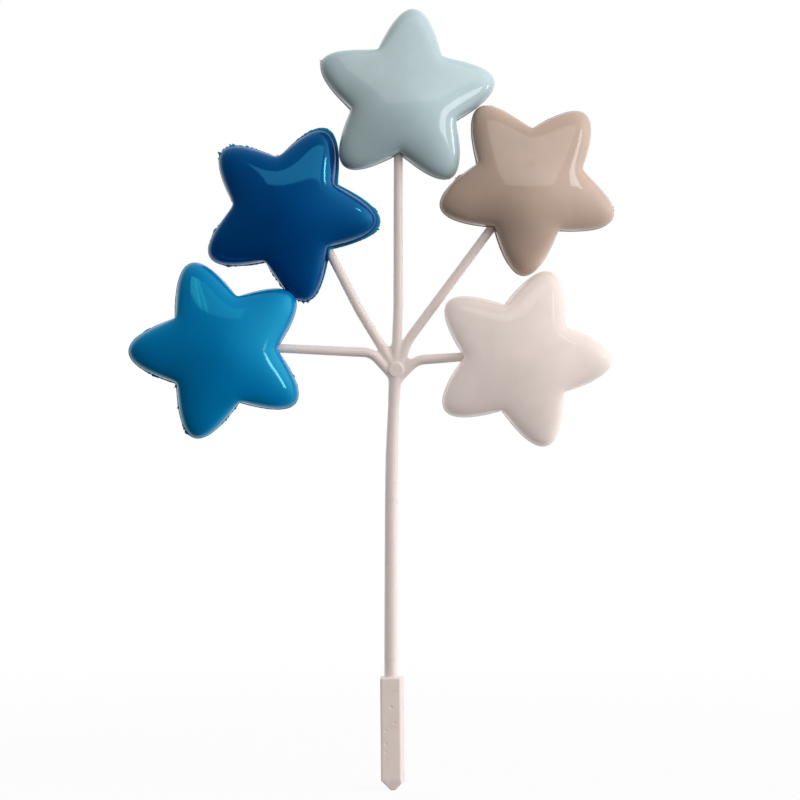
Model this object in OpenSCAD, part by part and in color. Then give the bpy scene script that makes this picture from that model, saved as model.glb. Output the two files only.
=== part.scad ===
// Cake topper: five hollow two-part stars on one branching stick with a flat spike.
// X runs to the right, +Y to the back, +Z up. The origin is the middle of the spike's
// shoulder, where the spike goes into the cake. The star seams lie close to the plane y = 0.

/* [Spike] */
// Length of the flat spike below its shoulder
spike_len = 25.3; // [18:0.1:40]
// Width of the spike across its flat faces
spike_w = 5.4; // [4.6:0.1:7]
// Thickness of the spike from flat to flat
spike_t = 4; // [3.4:0.1:6]
// Bevel along the spike's edges
spike_bevel = 0.55; // [0.2:0.05:0.9]
// Bevel round the spike's shoulder
shoulder_bevel = 0.2; // [0.1:0.05:0.5]
// Height of the spike's pointed end
point_h = 2.3; // [1.5:0.1:4]
// Width that is left at the blunt point
point_w = 1.1; // [0.6:0.1:2]
// Lean of the spike to the right of straight down, in degrees
spike_lean = 0.5; // [-2:0.1:2]

/* [Stem and hub] */
// Diameter of the stem
stem_d = 3; // [2.4:0.1:3.2]
// Height of the hub's middle above the shoulder
hub_z = 69.4; // [40:0.1:100]
// Distance of the hub's middle to the right of the spike
hub_x = 0.85; // [0:0.05:1.5]
// Distance of the stem's lower half to the left of the spike's middle
stem_shift = 0.2; // [0:0.05:0.5]
// Diameter of the round boss on the hub
boss_d = 3.85; // [3.2:0.05:4.4]
// Length of the boss from front to back
boss_t = 3.4; // [3:0.1:4]
// Bevel round the boss's faces
boss_bevel = 0.25; // [0.1:0.05:0.5]
// Thickness of the webs between the arms
web_t = 1.3; // [0.8:0.1:1.8]

/* [Arms] */
// Diameter of an arm near the hub
arm_d = 2.2; // [1.9:0.05:2.4]
// Diameter of an arm where it goes into its star
arm_end_d = 2; // [1.8:0.05:2.1]
// Length of the curve on each side of an arm's bend
bend_len = 1.9; // [1:0.1:2.4]
// Diameter of the round head on an arm's end, inside the star
head_d = 3.2; // [2.8:0.1:3.8]
// Gap between the head and the saddle ribs that it lies behind
head_gap = 0.35; // [0.1:0.05:1]

/* [Stars] */
// Distance from a star's middle to a tip, over the flange
tip_r = 20.55; // [18:0.05:30]
// Distance from a star's middle to a notch, as a share of that to a tip
notch_share = 0.608; // [0.56:0.002:0.62]
// Share of bulge that is added to the star's pointed arms
bulge_share = 0.06; // [0:0.01:0.1]
// Half of a star's thickness, from the seam to the crown
crown_h = 7; // [5.5:0.1:10]
// Wall of a star's shells
wall = 0.8; // [0.6:0.05:0.9]
// Width of the flat flange round the seam
flange_w = 0.55; // [0.4:0.05:0.7]
// Thickness of the flange on each half
flange_t = 0.3; // [0.2:0.05:0.4]
// Height of the locating lip on the front half
lip_h = 0.8; // [0.5:0.1:1]
// Gap round the locating lip
lip_gap = 0.05; // [0.03:0.01:0.1]
// Gap round an arm in its mouth and saddles
arm_gap = 0.04; // [0.02:0.01:0.08]
// Thickness of the saddle rib that holds an arm
rib_t = 0.9; // [0.7:0.1:1.2]
// Width of the saddle rib
rib_w = 4; // [3:0.1:6]
// Distance from the mouth to the middle of the saddle rib
rib_in = 6.2; // [4:0.1:8]

/* [Extra flash on the seam flange] */
// Extra width of the pale blue star's flange
sky_flash = 0; // [0:0.05:0.3]
// Extra width of the dark blue star's flange
navy_flash = 0.25; // [0:0.05:0.3]
// Extra width of the bright blue star's flange
aqua_flash = 0.05; // [0:0.05:0.3]
// Extra width of the grey brown star's flange
taupe_flash = 0.1; // [0:0.05:0.3]
// Extra width of the white star's flange
white_flash = 0.05; // [0:0.05:0.3]

/* [Hidden] */

TIPS = 5;
STEP = 360 / TIPS;
HALF = STEP / 2;
OUTLINE_STEPS = 4;
TUBE_STEPS = 12;
BEND_STEPS = 4;

// The dome rises as (1 - s^DOME_REACH)^(1/DOME_EDGE), where s is 0 at the middle and 1 at the rim
DOME_REACH = 4;
DOME_EDGE = 2.3;
dome_shares = [0.35, 0.6, 0.8, 0.92, 0.985];

// Rows of the stem: share of its height, and diameter as a share of stem_d
stem_shares = [
    [-0.02, 1.05], [0.2, 1.03], [0.4, 0.99], [0.55, 0.97], [0.7, 0.96],
    [0.8, 0.88], [0.87, 0.83], [0.93, 0.92], [1, 1]
];
// Share of the stem's height where it begins to curve towards the hub
stem_curve_share = 0.38;

// Places of the stars' middles from the hub: across and up in tip_r, depth in crown_h
sky_place_shares = [0.095, 0, 2.937];
navy_place_shares = [-1.165, 0.17, 1.708];
aqua_place_shares = [-1.908, -0.34, 0.192];
taupe_place_shares = [1.44, 0.06, 2.002];
white_place_shares = [1.35, -0.06, 0.1];

// A star is [place, turn of a tip clockwise from up, notch that the arm goes into,
// direction of the arm clockwise from up, shift of the arm from the notch as a share of arm_d,
// pitch about X, yaw about Z, flash, colour]
PLACE = 0;
SPIN = 1;
ENTRY = 2;
ARM_DIR = 3;
SHIFT_SHARE = 4;
PITCH = 5;
YAW = 6;
FLASH = 7;
TONE = 8;
sky = [sky_place_shares, 6, 2, 0, -0.12, -2, 4, sky_flash, "#a9bfc5"];
navy = [navy_place_shares, 24.7, 1, -25.5, -0.12, -3, -6, navy_flash, "#004384"];
aqua = [aqua_place_shares, -19.2, 1, -86.3, 0.08, 0, 5, aqua_flash, "#0a86bd"];
taupe = [taupe_place_shares, 39.1, 2, 38.3, 0.08, -1, 4, taupe_flash, "#b3a18f"];
white = [white_place_shares, 19.4, 3, 86.2, 0, 1, 1, white_flash, "#e6e0dc"];
STICK_TONE = "#e9e3de";

// An arm is [star, place where it leaves the hub as shares of boss_d, place of its bend as
// shares of the way from the hub to the star's mouth, reach of the web along it as a share of
// the way to its bend, depth of the web's notch after it as a share of the way from the hub]
STAR = 0;
ROOT_SHARES = 1;
BEND_SHARES = 2;
WEB_SHARE = 3;
DIP_SHARE = 4;
ARMS = [
    [aqua, [-0.03, -0.62], [0.2, 0.77], 0.87, 0.92],
    [navy, [-0.18, 0.16], [0.537, 0.485], 0.4, 0.83],
    [sky, [0, 0.16], [1, 0.29], 0.4, 1],
    [taupe, [0.16, 0.05], [0.116, 0.185], 0.9, 0.75],
    [white, [-0.03, -0.78], [0.3, 0.7], 0.9, 1]
];
// Feet of the web's outline beside the stem, as shares of boss_d
web_left_shares = [-0.26, -0.68];
web_right_shares = [0.26, -0.83];

hub = [hub_x, 0, hub_z];

// Plain helpers
function unit(v) = v / norm(v);
function mix(a, b, share) = a + (b - a) * share;
function side(p) = [p[0], 0, p[1]];

// Outline of a star, drawn in a distance from its edge
notch_r = tip_r * notch_share;
arm_foot = notch_r * cos(HALF);
arm_half_w = notch_r * sin(HALF);
arm_slope = atan(arm_half_w / 2 / (tip_r - arm_foot));
function notch_at(inset) = notch_r - inset / sin(HALF + arm_slope);
function arm_point(share, hand, inset) =
    let (foot = notch_at(inset) * cos(HALF))
    let (half_w = notch_at(inset) * sin(HALF))
    let (across = sqrt(max(0, 1 - (1 - bulge_share) * share - bulge_share * share * share)))
    [hand * half_w * across, foot + (tip_r - inset - foot) * share];
function turn(p, angle) = [
    p[0] * cos(angle) + p[1] * sin(angle),
    p[1] * cos(angle) - p[0] * sin(angle)
];
function arm_points(inset) = [
    for (step = [0 : OUTLINE_STEPS])
        arm_point(sin(90 * step / OUTLINE_STEPS), -1, inset),
    for (step = [1 : OUTLINE_STEPS - 1])
        arm_point(sin(90 * (1 - step / OUTLINE_STEPS)), 1, inset)
];
function star_outline(inset) = [
    for (tip = [0 : TIPS - 1])
        for (p = arm_points(inset))
            turn(p, tip * STEP)
];

// Distance from a star's middle to its outline, at an angle from the nearest tip
function reach(angle, inset) =
    let (foot = notch_at(inset) * cos(HALF))
    let (half_w = notch_at(inset) * sin(HALF))
    let (run = tip_r - inset - foot)
    let (k = tan(angle) * tan(angle))
    let (a = k * run * run + half_w * half_w * bulge_share)
    let (b = 2 * k * foot * run + half_w * half_w * (1 - bulge_share))
    let (c = k * foot * foot - half_w * half_w)
    let (share = a == 0 ? 1 : (sqrt(max(0, b * b - 4 * a * c)) - b) / (2 * a))
    (foot + run * share) / cos(angle);

// Height of a dome over the seam, as a share of its crown
function dome(share) = pow(1 - pow(share, DOME_REACH), 1 / DOME_EDGE);
inner_inset = flange_w + wall;
lip_inset = flange_w + wall / 2;
inner_h = crown_h - wall;
head_in = rib_in + rib_t / 2 + head_gap + head_d / 2;

function ring(inset, share, height) = [
    for (p = star_outline(inset)) [p[0] * share, -height, p[1] * share]
];
function dome_rings(inset, height) = [
    for (share = dome_shares) ring(inset, share, height * dome(share))
];
function backward(list) = [for (i = [len(list) - 1 : -1 : 0]) list[i]];

// The rings of a front half have the lip, and those of a back half have the step for it
function front_rings(flash) = concat(
    dome_rings(flange_w, crown_h),
    [
        ring(flange_w, 1, flange_t), ring(-flash, 1, flange_t), ring(-flash, 1, 0),
        ring(lip_inset, 1, 0), ring(lip_inset, 1, -lip_h), ring(inner_inset, 1, -lip_h)
    ],
    backward(dome_rings(inner_inset, inner_h))
);
function back_rings(flash) = concat(
    dome_rings(flange_w, crown_h),
    [
        ring(flange_w, 1, flange_t), ring(-flash, 1, flange_t), ring(-flash, 1, 0),
        ring(lip_inset - lip_gap, 1, 0), ring(lip_inset - lip_gap, 1, lip_h + lip_gap)
    ],
    backward(dome_rings(inner_inset, inner_h))
);

// Closed skin over rings of points, with one point at its start and one at its end
module skin(start, rings, end) {
    count = len(rings[0]);
    last = len(rings) * count + 1;
    points = concat([start], [for (r = rings) each r], [end]);
    faces = concat(
        [for (i = [0 : count - 1]) [0, 1 + i, 1 + (i + 1) % count]],
        [
            for (r = [0 : len(rings) - 2])
                for (i = [0 : count - 1])
                    let (a = 1 + r * count + i)
                    let (b = 1 + r * count + (i + 1) % count)
                    each [[a, a + count, b + count], [a, b + count, b]]
        ],
        [
            for (i = [0 : count - 1])
                [last, last - count + (i + 1) % count, last - count + i]
        ]
    );
    polyhedron(points = points, faces = faces, convexity = 10);
}

// Where an arm goes through a star, in the plane of the star's seam
function notch_angle(star) = star[SPIN] + HALF + star[ENTRY] * STEP;
function mouth(star) = turn([0, notch_r], notch_angle(star));
function along_arm(star, depth) =
    mouth(star) + turn([star[SHIFT_SHARE] * arm_d, depth], star[ARM_DIR]);

// A point of a star's seam plane in the frame of the whole topper
function tilt(p, pitch) = [p[0], -p[1] * sin(pitch), p[1] * cos(pitch)];
function swing(p, yaw) = [
    p[0] * cos(yaw) - p[1] * sin(yaw),
    p[0] * sin(yaw) + p[1] * cos(yaw),
    p[2]
];
function middle(star) = hub + [
    star[PLACE][0] * tip_r, star[PLACE][1] * crown_h, star[PLACE][2] * tip_r
];
function on_seam(star, p) = middle(star) + swing(tilt(p, star[PITCH]), star[YAW]);

// Height of a star's inner face over its seam, at a point of the seam plane
function inner_height(star, p) =
    let (from_tip = atan2(p[0], p[1]) - star[SPIN])
    let (fold = abs(from_tip - STEP * round(from_tip / STEP)))
    inner_h * dome(min(max(dome_shares), norm(p) / reach(fold, inner_inset)));

// Everything that is cut away round an arm inside its star
module arm_bore(star) {
    start = along_arm(star, -notch_r / 2);
    translate(side(start))
        rotate([0, star[ARM_DIR], 0])
            cylinder(d = arm_end_d + 2 * arm_gap, h = notch_r / 2 + rib_in + rib_t, $fn = 48);
}

// Rib that holds one side of an arm, on the front side of the seam
module saddle_rib(star) {
    place = along_arm(star, rib_in);
    top = inner_height(star, place) + wall / 2;
    translate(side(place))
        rotate([0, star[ARM_DIR], 0])
            translate([-rib_w / 2, -top, -rib_t / 2])
                cube([rib_w, top - lip_gap, rib_t]);
}

module at_star(star) {
    translate(middle(star))
        rotate([star[PITCH], 0, star[YAW]])
            children();
}

module star_front(star) {
    color(star[TONE])
        at_star(star)
            difference() {
                union() {
                    rotate([0, star[SPIN], 0])
                        skin([0, -crown_h, 0], front_rings(star[FLASH]), [0, -inner_h, 0]);
                    saddle_rib(star);
                }
                arm_bore(star);
            }
}

module star_back(star) {
    color(star[TONE])
        at_star(star)
            difference() {
                union() {
                    mirror([0, 1, 0])
                        rotate([0, star[SPIN], 0])
                            skin([0, -crown_h, 0], back_rings(star[FLASH]), [0, -inner_h, 0]);
                    mirror([0, 1, 0])
                        saddle_rib(star);
                }
                arm_bore(star);
            }
}

// Round bar through points, with a diameter at each point
module bar(path, diameters) {
    count = len(path);
    rings = [
        for (i = [0 : count - 1])
            let (run = unit(path[min(i + 1, count - 1)] - path[max(i - 1, 0)]))
            let (across = unit(cross(run, [0, 1, 0])))
            let (deep = cross(run, across))
            [
                for (k = [0 : TUBE_STEPS - 1])
                    let (angle = 360 * k / TUBE_STEPS)
                    path[i] + (across * cos(angle) + deep * sin(angle)) * diameters[i] / 2
            ]
    ];
    skin(path[0], rings, path[count - 1]);
}

// Path of an arm: from the hub round its bend, and then into the star's mouth to its head
function bend_curve(before, corner, after) = [
    for (step = [0 : BEND_STEPS])
        let (share = step / BEND_STEPS)
        mix(mix(before, corner, share), mix(corner, after, share), share)
];
function gate(arm) = on_seam(arm[STAR], along_arm(arm[STAR], 0));
function root(arm) = hub + side(arm[ROOT_SHARES] * boss_d);
function corner(arm) =
    let (way = gate(arm) - hub)
    let (shares = arm[BEND_SHARES])
    hub + [way[0] * shares[0], way[1] * min(shares), way[2] * shares[1]];
function arm_outside(arm) = concat(
    [root(arm)],
    bend_curve(
        corner(arm) + unit(root(arm) - corner(arm)) * bend_len,
        corner(arm),
        corner(arm) + unit(gate(arm) - corner(arm)) * bend_len
    )
);
function head(arm) = on_seam(arm[STAR], along_arm(arm[STAR], head_in));
function arm_inside(arm) = [
    gate(arm),
    on_seam(arm[STAR], along_arm(arm[STAR], rib_in)),
    head(arm)
];

module arm_bar(arm) {
    outside = arm_outside(arm);
    inside = arm_inside(arm);
    bar(
        concat(outside, inside),
        concat([for (p = outside) arm_d], [for (p = inside) arm_end_d])
    );
    translate(head(arm))
        sphere(d = head_d, $fn = 32);
}

function stem_x(share) =
    let (curve = max(0, share - stem_curve_share) / (1 - stem_curve_share))
    (hub_x + stem_shift) * pow(curve, 3) - stem_shift;

module stem() {
    path = [for (row = stem_shares) [stem_x(row[0]), 0, hub_z * row[0]]];
    bar(path, [for (row = stem_shares) stem_d * row[1]]);
}

module boss() {
    r = boss_d / 2;
    half = boss_t / 2;
    translate(hub)
        rotate([90, 0, 0])
            rotate_extrude($fn = 48)
                polygon([
                    [0, -half], [r - boss_bevel, -half], [r, boss_bevel - half],
                    [r, half - boss_bevel], [r - boss_bevel, half], [0, half]
                ]);
}

// The web reaches a point along each arm, and dips towards the hub between two arms
function web_point(i) = mix(root(ARMS[i]), corner(ARMS[i]), ARMS[i][WEB_SHARE]);
function web_dip(i) = mix(hub, (web_point(i) + web_point(i + 1)) / 2, ARMS[i][DIP_SHARE]);
function web_outline() = concat(
    [hub + side(web_left_shares * boss_d)],
    [
        for (i = [0 : len(ARMS) - 1])
            each i < len(ARMS) - 1 ? [web_point(i), web_dip(i)] : [web_point(i)]
    ],
    [hub + side(web_right_shares * boss_d)]
);

module webs() {
    translate([0, web_t / 2, 0])
        rotate([90, 0, 0])
            linear_extrude(height = web_t)
                polygon([for (p = web_outline()) [p[0], p[2]]]);
}

// Outline of a bevelled bar with a blunt point, for a width across
module spike_outline(width) {
    half = width / 2;
    tip = point_w / 2;
    polygon([
        [-half, -shoulder_bevel], [-half, point_h - spike_len], [-tip, -spike_len],
        [tip, -spike_len], [half, point_h - spike_len], [half, -shoulder_bevel],
        [half - shoulder_bevel, 0], [shoulder_bevel - half, 0]
    ]);
}

module spike() {
    x = spike_w / 2;
    y = spike_t / 2;
    rotate([0, -spike_lean, 0])
        intersection() {
            translate([0, spike_t / 2, 0])
                rotate([90, 0, 0])
                    linear_extrude(height = spike_t)
                        spike_outline(spike_w);
            translate([-spike_w / 2, 0, 0])
                rotate([90, 0, 90])
                    linear_extrude(height = spike_w)
                        spike_outline(spike_t);
            translate([0, 0, -spike_len])
                linear_extrude(height = spike_len)
                    polygon([
                        [-x, spike_bevel - y], [spike_bevel - x, -y],
                        [x - spike_bevel, -y], [x, spike_bevel - y],
                        [x, y - spike_bevel], [x - spike_bevel, y],
                        [spike_bevel - x, y], [-x, y - spike_bevel]
                    ]);
        }
}

// The whole stick is one moulding
module branch_frame() {
    color(STICK_TONE)
        union() {
            spike();
            stem();
            boss();
            webs();
            for (arm = ARMS)
                arm_bar(arm);
        }
}

module sky_star_front() { star_front(sky); }
module sky_star_back() { star_back(sky); }
module navy_star_front() { star_front(navy); }
module navy_star_back() { star_back(navy); }
module aqua_star_front() { star_front(aqua); }
module aqua_star_back() { star_back(aqua); }
module taupe_star_front() { star_front(taupe); }
module taupe_star_back() { star_back(taupe); }
module white_star_front() { star_front(white); }
module white_star_back() { star_back(white); }

branch_frame();
sky_star_front();
sky_star_back();
navy_star_front();
navy_star_back();
aqua_star_front();
aqua_star_back();
taupe_star_front();
taupe_star_back();
white_star_front();
white_star_back();
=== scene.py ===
"""Cake topper: five puffed stars, each of two glossy moulded shells, on one branching stick.

X runs to the right, +Y to the back and +Z up, in metres, with the origin in the middle of the
spike's shoulder. Shapes are worked out in millimetres and are turned to metres at the end.
"""

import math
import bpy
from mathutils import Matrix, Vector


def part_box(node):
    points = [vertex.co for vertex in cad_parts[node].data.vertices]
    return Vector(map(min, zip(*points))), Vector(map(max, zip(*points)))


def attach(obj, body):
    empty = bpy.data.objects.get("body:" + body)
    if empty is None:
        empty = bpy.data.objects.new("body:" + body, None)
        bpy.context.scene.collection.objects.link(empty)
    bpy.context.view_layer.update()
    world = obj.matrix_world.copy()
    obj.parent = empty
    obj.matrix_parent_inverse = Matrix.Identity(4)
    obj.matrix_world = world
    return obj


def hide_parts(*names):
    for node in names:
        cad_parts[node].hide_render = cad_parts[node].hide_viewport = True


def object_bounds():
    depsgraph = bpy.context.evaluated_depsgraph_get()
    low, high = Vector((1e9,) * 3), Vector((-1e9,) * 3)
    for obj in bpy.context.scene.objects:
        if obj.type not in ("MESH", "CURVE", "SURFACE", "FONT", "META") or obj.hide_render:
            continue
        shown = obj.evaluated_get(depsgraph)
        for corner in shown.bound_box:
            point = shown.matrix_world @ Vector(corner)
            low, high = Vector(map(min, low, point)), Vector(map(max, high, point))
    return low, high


bl_info = {
    "name": "Cake topper",
    "version": (1, 0, 0),
    "blender": (4, 5, 0),
    "location": "View3D > Sidebar > Cake topper",
    "description": "Puffed star shells on a branching moulded stick, and their studio",
    "category": "Add Mesh",
}

import bpy
import numpy as np
from bpy.props import FloatProperty, FloatVectorProperty, PointerProperty
from mathutils import Vector

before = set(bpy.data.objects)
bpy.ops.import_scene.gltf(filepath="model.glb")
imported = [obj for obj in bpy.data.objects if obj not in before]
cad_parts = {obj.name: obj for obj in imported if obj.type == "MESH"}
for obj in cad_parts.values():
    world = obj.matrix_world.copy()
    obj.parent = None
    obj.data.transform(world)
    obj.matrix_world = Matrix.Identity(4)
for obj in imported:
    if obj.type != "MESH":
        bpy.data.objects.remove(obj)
CAD_BOX = [list(corner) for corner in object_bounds()]

MM = 0.001
TIPS = 5
STEP = 2 * math.pi / TIPS

# Points round a star and cells of the stick's grid in millimetres, coarser while things are tried
ANGLES = 1200
NET_CELL = 0.2


# Colours

def linear(code):
    """Linear red, green and blue of an sRGB hex colour."""
    parts = [int(code[i : i + 2], 16) / 255 for i in (1, 3, 5)]
    return tuple(p / 12.92 if p <= 0.04045 else ((p + 0.055) / 1.055) ** 2.4 for p in parts)


def tone(name, description, code):
    """Colour property with a default that is given as a hex colour."""
    return FloatVectorProperty(
        name=name, description=description, subtype="COLOR", size=3,
        min=0.0, max=1.0, default=linear(code),
    )


def length(name, description, millimetres):
    """Length property with a default in millimetres."""
    return FloatProperty(
        name=name, description=description, unit="LENGTH", default=millimetres * MM, min=0.0
    )


def share(name, description, value):
    """Plain share between 0 and 1."""
    return FloatProperty(name=name, description=description, default=value, min=0.0, max=1.0)


class StarSizes(bpy.types.PropertyGroup):
    """Sizes of the one mould that all the star shells come from."""

    tip_r: length("Tip radius", "From a star's middle to a tip, over the flange", 20.55)
    notch: share("Notch share", "Distance to a notch as a share of that to a tip", 0.608)
    bulge: share("Bulge", "Share of bulge that is added to the pointed arms", 0.06)
    crown_h: length("Crown height", "Half of a star's thickness", 7.0)
    wall: length("Wall", "Thickness of a shell", 0.8)
    shoulder: length("Shoulder", "Height of the steep edge that the dome stands on", 1.75)
    flange_w: length("Flange width", "Width of the flat flange round the seam", 0.13)
    flange_t: length("Flange thickness", "Thickness of the flange on each half", 0.25)
    fillet: length("Fillet", "Radius of the hollow corner between dome and flange", 0.12)
    lip_h: length("Lip height", "Height of the locating lip on a front half", 0.8)
    lip_gap: length("Lip gap", "Gap round the locating lip", 0.05)
    mouth_d: length("Mouth diameter", "Diameter of the round mouth that an arm goes into", 2.08)
    collar: length("Collar", "Wall of the raised collar round a mouth", 0.25)


class StickSizes(bpy.types.PropertyGroup):
    """Sizes of the branching stick."""

    spike_len: length("Spike length", "Length of the flat spike below its shoulder", 25.3)
    spike_w: length("Spike width", "Width across the spike's flat faces", 5.4)
    spike_t: length("Spike thickness", "Thickness from flat to flat", 4.0)
    bevel_left: length("Left bevel", "Bevel along the spike's left edges", 0.3)
    bevel_right: length("Right bevel", "Bevel along the spike's right edges", 1.0)
    shoulder: length("Shoulder bevel", "Bevel round the spike's shoulder", 0.2)
    point_h: length("Point height", "Height of the spike's pointed end", 2.3)
    point_w: length("Point width", "Width that is left at the blunt point", 1.1)
    point_t: length("Point thickness", "Thickness that is left at the blunt point", 3.1)
    stem_d: length("Stem diameter", "Diameter of the stem", 3.0)
    hub_z: length("Hub height", "Height of the hub's middle above the shoulder", 69.4)
    hub_x: length("Hub shift", "Distance of the hub's middle to the right", 0.85)
    stem_shift: length("Stem shift", "Distance of the lower stem to the left", 0.2)
    hub_d: length("Hub diameter", "Diameter of the hub that the arms leave", 3.85)
    boss_d: length("Boss diameter", "Diameter of the round boss on the hub", 3.35)
    boss_t: length("Boss length", "Length of the boss from front to back", 3.2)
    boss_drop: length("Boss drop", "Distance of the boss below the hub's middle", 0.45)
    web_t: length("Web thickness", "Thickness of the webs between the arms", 1.3)
    arm_d: length("Arm diameter", "Diameter of an arm near the hub", 2.2)
    arm_end_d: length("Arm end diameter", "Diameter of an arm in its star's mouth", 2.0)
    bend: length("Bend length", "Length of the curve on each side of an arm's bend", 1.9)
    head_d: length("Head diameter", "Diameter of the round head inside a star", 3.2)
    head_in: length("Head depth", "Depth of the head's middle behind the mouth", 8.6)
    blend: length("Blend radius", "Reach of the soft corners where arms and webs meet", 0.9)


class Finishes(bpy.types.PropertyGroup):
    """Colours of the moulded plastics."""

    stick: tone("Stick", "Off-white of the stick", "#F0E2DC")
    sky: tone("Sky star", "Pale grey blue", "#A9BEC2")
    navy: tone("Navy star", "Dark blue", "#004587")
    aqua: tone("Aqua star", "Bright blue", "#007BB9")
    taupe: tone("Taupe star", "Grey brown", "#C9AF9E")
    white: tone("White star", "Warm white", "#E5D6CF")


# A star is its place from the hub (across and up in tip radii, depth in crown heights), the turn
# of a tip clockwise from up, the notch that its arm goes into, the arm's direction, the arm's
# shift from the notch in arm diameters, its pitch and yaw, its even flash in millimetres, the
# ragged flash's height in millimetres, and bursts of it (angle, half width, height). A skew is
# the side on which the crown is lower, and the slope. A lean is a side, how much wider the flash
# is there, and how far the dome stands back from it, in millimetres.
STARS = {
    "sky": {
        "place": (0.1, 0, 2.937), "spin": 6, "entry": 2, "arm": 0, "shift": -0.12,
        "pitch": -3.4, "yaw": 2.8, "skew": (-8, 0.17), "flash": 0.0, "ragged": 0.03,
        "bursts": [(-66.3, 2.5, 0.45), (-164.6, 3, 0.2), (150, 5, 0.12)],
    },
    "navy": {
        "place": (-1.171, 0.17, 1.705), "spin": 24.7, "entry": 1, "arm": -25.5, "shift": -0.12,
        "pitch": -1.7, "yaw": -3.9, "lean": (75, 0.1, 0.5), "flash": 0.03, "ragged": 0.16,
        "bursts": [
            (-50, 5, 0.5), (-41, 3, 0.5), (-32, 6, 0.35), (-11, 5, 0.45), (89, 3, 0.3),
            (101, 4, 0.35), (-134, 5, 0.3), (-168, 6, 0.4), (170, 8, 0.25), (-102, 4, 0.3),
            (-80, 4, 0.25), (11, 6, 0.3),
        ],
    },
    "aqua": {
        "place": (-1.906, -0.34, 0.192), "spin": -19.2, "entry": 1, "arm": -86.3, "shift": 0.08,
        "pitch": -1.9, "yaw": 5.2, "flash": 0.03, "ragged": 0.07,
        "bursts": [
            (-130.8, 4, 0.6), (-143.5, 3, 0.3), (-156, 4, 0.35), (-72.6, 5, 0.2),
            (-111, 4, 0.25), (166, 6, 0.3), (176, 4, 0.2), (111, 5, 0.25),
        ],
    },
    "taupe": {
        "place": (1.446, 0.06, 2.004), "spin": 39.1, "entry": 2, "arm": 38.3, "shift": -0.12,
        "pitch": -0.9, "yaw": 4, "skew": (0, 0.17), "flash": 0.04, "ragged": 0.06,
        "bursts": [(-84.7, 4, 0.4), (-26.7, 5, 0.15), (102.9, 5, 0.3)],
    },
    "white": {
        "place": (1.356, -0.06, 0.105), "spin": 19.4, "entry": 3, "arm": 86.2, "shift": 0.0,
        "pitch": 1, "yaw": 1, "flash": 0.05, "ragged": 0.05,
        "bursts": [(60, 5, 0.2), (-160, 5, 0.2)],
    },
}

# An arm is where it leaves the hub (in hub diameters), its bend as shares of the way across and
# up to its star's mouth, the web's reach along it, and the depth of the web's dip after it
ARMS = [
    ("aqua", (-0.03, -0.62), (0.2, 0.77), 0.87, 0.92),
    ("navy", (-0.18, 0.16), (0.537, 0.485), 0.4, 0.83),
    ("sky", (0.0, 0.16), (1.0, 0.29), 0.4, 1.0),
    ("taupe", (0.16, 0.05), (0.116, 0.185), 0.9, 0.75),
    ("white", (-0.03, -0.78), (0.3, 0.7), 0.9, 1.0),
]
# The webs' lowest corners on the left and right, in hub diameters
WEB_FEET = ((-0.26, -0.68), (0.26, -0.83))
# Stem: share of its height, and diameter as a share of the stem's
STEM_ROWS = (
    (-0.02, 1.05), (0.2, 1.03), (0.4, 0.99), (0.55, 0.97), (0.7, 0.96),
    (0.8, 0.88), (0.87, 0.83), (0.93, 0.92), (1.0, 1.0),
)
# Share of its height from which the stem curves over to the hub, with the cube of the way
STEM_CURVE = 0.38
# Points along the stem, and round an arm's bend
STEM_POINTS, BEND_POINTS = 25, 11
# Reach of soft corners: small ones, round the boss's foot, and along the spike's edges
SMALL_BLEND, BOSS_BLEND, SPIKE_BLEND = 0.3, 0.4, 0.14
SPIKE_LEAN = math.radians(0.5)
# Small moulding marks on the spike's front (across, up, radius), how far their middles stand out
# of the face as a share of the radius, and the nick in its point (across, up, radius)
SPIKE_MARKS = (
    (-0.16, -6.7, 0.45), (0.52, -10.1, 0.35), (-1.4, -11.9, 0.35), (-1.4, -14.8, 0.35),
    (-1.4, -16.6, 0.3), (-1.4, -18.2, 0.3),
)
MARK_OUT = 0.6
POINT_NICK = (1.75, -24.75, 0.4)


class Sizes:
    """The lengths of a property group in millimetres, and its shares as they are."""

    def __init__(self, group):
        for key in group.__annotations__:
            value = getattr(group, key)
            is_length = group.bl_rna.properties[key].unit == "LENGTH"
            setattr(self, key, value / MM if is_length else value)


# Places

def clockwise(point, angle):
    """A point (across, up) turned clockwise by an angle in radians."""
    x, z = point
    return np.array([
        x * math.cos(angle) + z * math.sin(angle),
        z * math.cos(angle) - x * math.sin(angle),
    ])


def star_turn(star):
    """Matrix that pitches a star about X and then swings it about Z."""
    c, s = math.cos(math.radians(star["pitch"])), math.sin(math.radians(star["pitch"]))
    pitch = np.array([[1, 0, 0], [0, c, -s], [0, s, c]])
    c, s = math.cos(math.radians(star["yaw"])), math.sin(math.radians(star["yaw"]))
    swing = np.array([[c, -s, 0], [s, c, 0], [0, 0, 1]])
    return swing @ pitch


def star_middle(star, mould, stick):
    """Place of a star's middle, in millimetres."""
    x, y, z = star["place"]
    return np.array([
        stick.hub_x + x * mould.tip_r, y * mould.crown_h, stick.hub_z + z * mould.tip_r
    ])


def along_arm(star, mould, stick, depth):
    """Point (across, up) of a star's seam plane on its arm's middle line, at a depth."""
    notch_angle = math.radians(star["spin"]) + STEP / 2 + star["entry"] * STEP
    mouth = clockwise((0.0, mould.notch * mould.tip_r), notch_angle)
    way = clockwise((star["shift"] * stick.arm_d, depth), math.radians(star["arm"]))
    return mouth + way


def on_seam(star, mould, stick, depth):
    """The same point in the topper's frame."""
    x, z = along_arm(star, mould, stick, depth)
    return star_middle(star, mould, stick) + star_turn(star) @ np.array([x, 0.0, z])


# Star shells

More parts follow.
